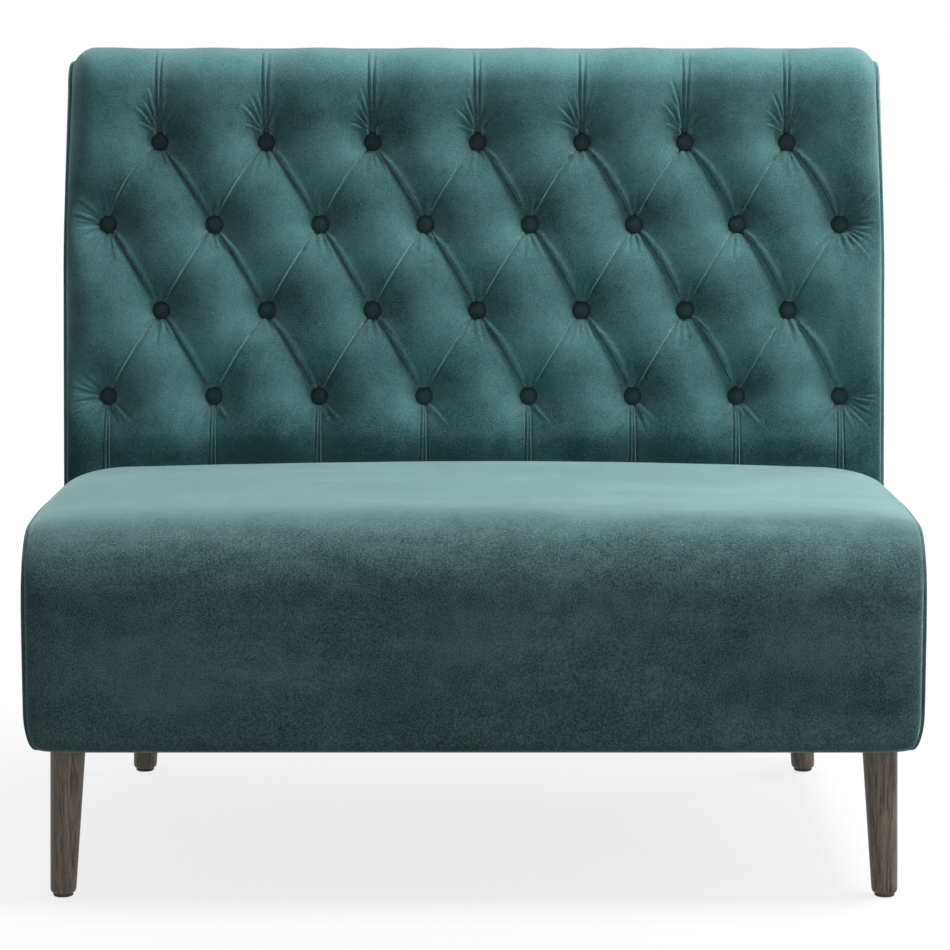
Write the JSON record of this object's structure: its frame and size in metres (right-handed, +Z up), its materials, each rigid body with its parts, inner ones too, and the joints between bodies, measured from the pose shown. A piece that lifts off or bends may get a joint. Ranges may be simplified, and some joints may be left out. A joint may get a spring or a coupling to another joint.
{
  "type": "tufted banquette",
  "caption": "Armless upholstered banquette with a plain sprung seat block, a leaning diamond tufted back and round tapered legs.",
  "frame": {"origin": "on the floor, under the middle of the whole object", "axes": "+Z up, -Y out of the front, +X to the right as seen from the front"},
  "size_m": [1.067, 0.7, 0.979],
  "materials": {
    "velvet": "teal cut-pile velvet, matt with a soft sheen where it turns away",
    "stained_wood": "dark grey-brown stained beech, satin lacquer, fine upright grain",
    "frame_timber": "planed, unfinished",
    "plywood": "unfinished plywood",
    "foam": "open-cell foam",
    "wadding": "loose polyester fibre",
    "hessian": "coarse plain weave",
    "dust_cloth": "black non-woven cloth",
    "spring_steel": "oiled drawn wire",
    "zinc_steel": "zinc plated",
    "felt": "pressed felt"
  },
  "bodies": {
    "root": {"seat_cover": "velvet", "seat_side_panel_left": "velvet", "seat_side_panel_right": "velvet", "seat_rear_panel": "velvet", "back_cover": "velvet", "back_side_panel_left": "velvet", "back_side_panel_right": "velvet", "outside_back_panel": "velvet", "button_row_1": "velvet", "button_row_2": "velvet", "button_row_3": "velvet", "button_row_4": "velvet", "leg_front_left": "stained_wood", "leg_front_right": "stained_wood", "leg_rear_left": "stained_wood", "leg_rear_right": "stained_wood", "seat_front_rail": "frame_timber", "seat_rear_rail": "frame_timber", "seat_middle_rail": "frame_timber", "seat_rail_left": "frame_timber", "seat_rail_right": "frame_timber", "corner_block_left": "frame_timber", "corner_block_right": "frame_timber", "leg_block_left": "frame_timber", "leg_block_right": "frame_timber", "back_lower_rail": "frame_timber", "back_middle_rail": "frame_timber", "back_rear_rail": "frame_timber", "back_stile_left": "frame_timber", "back_stile_right": "frame_timber", "back_cheek_left": "plywood", "back_cheek_right": "plywood", "tufting_board": "plywood", "back_top_board": "plywood", "seat_foam": "foam", "back_foam": "foam", "seat_wadding": "wadding", "seat_side_pad_left": "wadding", "seat_side_pad_right": "wadding", "back_side_pad_left": "wadding", "back_side_pad_right": "wadding", "back_top_pad": "wadding", "spring_cover_cloth": "hessian", "dust_cover": "dust_cloth", "spring_unit": "spring_steel", "leg_plate_front_left": "zinc_steel", "leg_plate_front_right": "zinc_steel", "leg_plate_rear_left": "zinc_steel", "leg_plate_rear_right": "zinc_steel", "back_fixing_strap_left": "zinc_steel", "back_fixing_strap_right": "zinc_steel", "spring_clip_strip_front": "zinc_steel", "spring_clip_strip_rear": "zinc_steel", "glide_front_left": "felt", "glide_front_right": "felt", "glide_rear_left": "felt", "glide_rear_right": "felt"}
  },
  "joints": []
}
